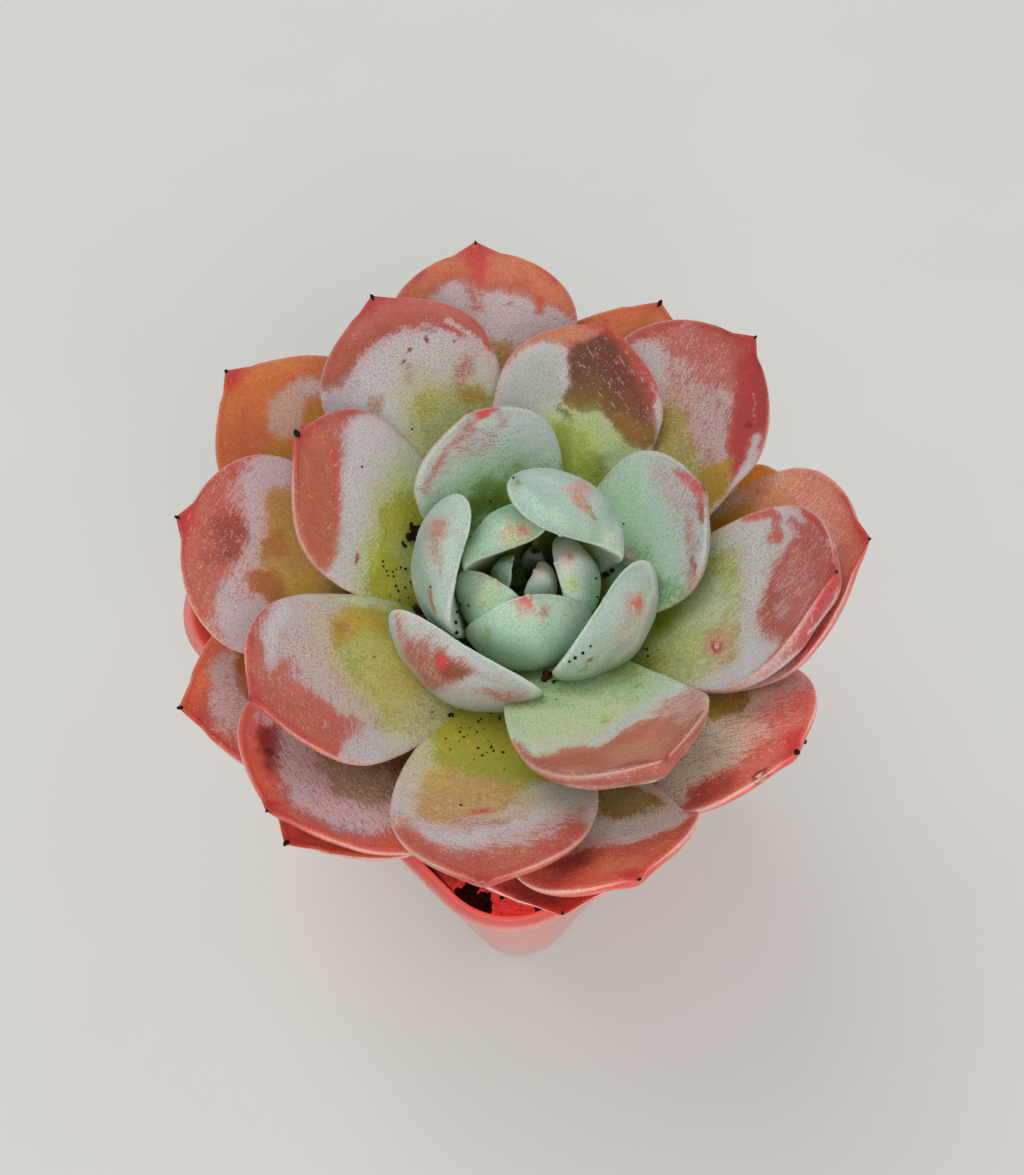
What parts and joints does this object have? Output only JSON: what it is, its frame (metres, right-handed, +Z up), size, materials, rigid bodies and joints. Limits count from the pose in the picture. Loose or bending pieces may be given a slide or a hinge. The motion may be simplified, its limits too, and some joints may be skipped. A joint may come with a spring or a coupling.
{
  "type": "potted echeveria nana",
  "caption": "Potted succulent: a cupped rosette of thick pointed leaves on a short stem, rooted in soil in a square tapered nursery pot that stands on its flat base.",
  "frame": {"origin": "middle of the pot's flat underside", "axes": "+Z up from the underside to the rosette; the square pot is turned 43 degrees about Z, so its corners point near -Y (towards the viewer of the picture), +X, +Y and -X"},
  "size_m": [0.0894, 0.0956, 0.0941],
  "materials": {
    "pot_plastic": "satin",
    "soil": "matte",
    "stem": "matte",
    "bud_leaf": "matte",
    "heart_leaf": "matte",
    "inner_leaf": "matte",
    "middle_leaf": "matte",
    "outer_leaf": "matte",
    "lower_leaf": "matte",
    "base_leaf": "matte"
  },
  "bodies": {
    "root": {"pot": "pot_plastic", "soil": "soil", "stem": "stem", "bud_leaf_back": "bud_leaf", "bud_leaf_right": "bud_leaf", "bud_leaf_left": "bud_leaf", "heart_leaf_front": "heart_leaf", "heart_leaf_right": "heart_leaf", "heart_leaf_left": "heart_leaf", "heart_leaf_back": "heart_leaf", "inner_leaf_back": "inner_leaf", "inner_leaf_left": "inner_leaf", "inner_leaf_right": "inner_leaf", "inner_leaf_front": "inner_leaf", "middle_leaf_back": "middle_leaf", "middle_leaf_right": "middle_leaf", "middle_leaf_front": "middle_leaf", "outer_leaf_left": "outer_leaf", "outer_leaf_back": "outer_leaf", "outer_leaf_right": "outer_leaf", "outer_leaf_left_front": "outer_leaf", "outer_leaf_left_back": "outer_leaf", "outer_leaf_front": "outer_leaf", "outer_leaf_right_back": "outer_leaf", "lower_leaf_left": "lower_leaf", "lower_leaf_right": "lower_leaf", "lower_leaf_right_front": "lower_leaf", "lower_leaf_left_front": "lower_leaf", "lower_leaf_back": "lower_leaf", "lower_leaf_left_back": "lower_leaf", "lower_leaf_front": "lower_leaf", "base_leaf_right": "base_leaf", "base_leaf_left": "base_leaf", "base_leaf_back": "base_leaf", "base_leaf_front": "base_leaf", "base_leaf_left_front": "base_leaf", "base_leaf_right_front": "base_leaf"}
  },
  "joints": []
}
